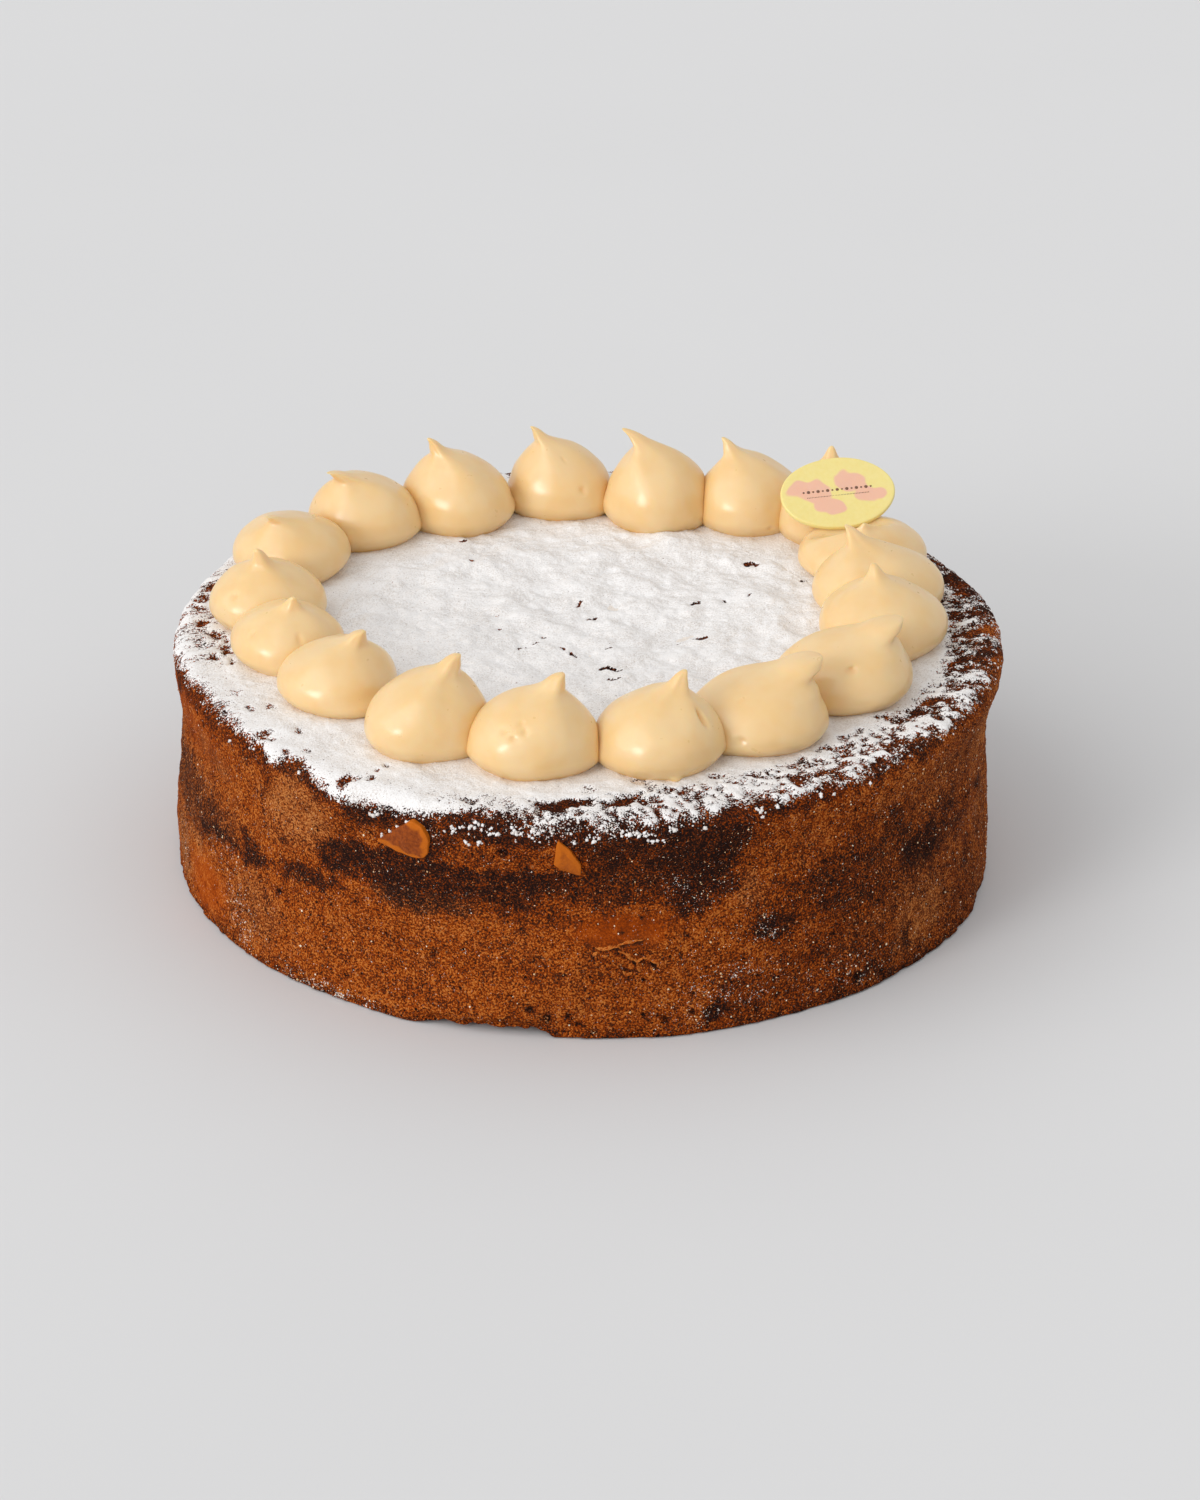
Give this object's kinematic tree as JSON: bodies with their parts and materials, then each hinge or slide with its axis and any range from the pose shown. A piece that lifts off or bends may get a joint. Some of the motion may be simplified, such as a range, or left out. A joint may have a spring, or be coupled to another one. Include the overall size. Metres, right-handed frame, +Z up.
{
  "type": "caprese cake",
  "caption": "Round uncut chocolate and almond cake dusted with icing sugar, with a ring of piped cream kisses and an oval white chocolate plaque.",
  "frame": {"origin": "centre of the round foot, level with the surface that the cake stands on", "axes": "+Z up; -Y is the front, the side that shows the two almond pieces; +X is to the right seen from the front, the side where the oval plaque leans"},
  "size_m": [0.2434, 0.242, 0.0988],
  "materials": {
    "crumb": "matt baked chocolate and almond crumb with a browned crust",
    "cream": "smooth satin pastry cream",
    "chocolate": "moulded white chocolate, satin",
    "almond": "toasted almond with its skin",
    "icing_sugar": "dry icing sugar powder"
  },
  "bodies": {
    "root": {"cake": "crumb", "kiss_01": "cream", "kiss_02": "cream", "kiss_03": "cream", "kiss_04": "cream", "kiss_05": "cream", "kiss_06": "cream", "kiss_07": "cream", "kiss_08": "cream", "kiss_09": "cream", "kiss_10": "cream", "kiss_11": "cream", "kiss_12": "cream", "kiss_13": "cream", "kiss_14": "cream", "kiss_15": "cream", "kiss_16": "cream", "kiss_17": "cream", "kiss_18": "cream", "plaque": "chocolate", "almond_1": "almond", "almond_2": "almond"}
  },
  "joints": []
}
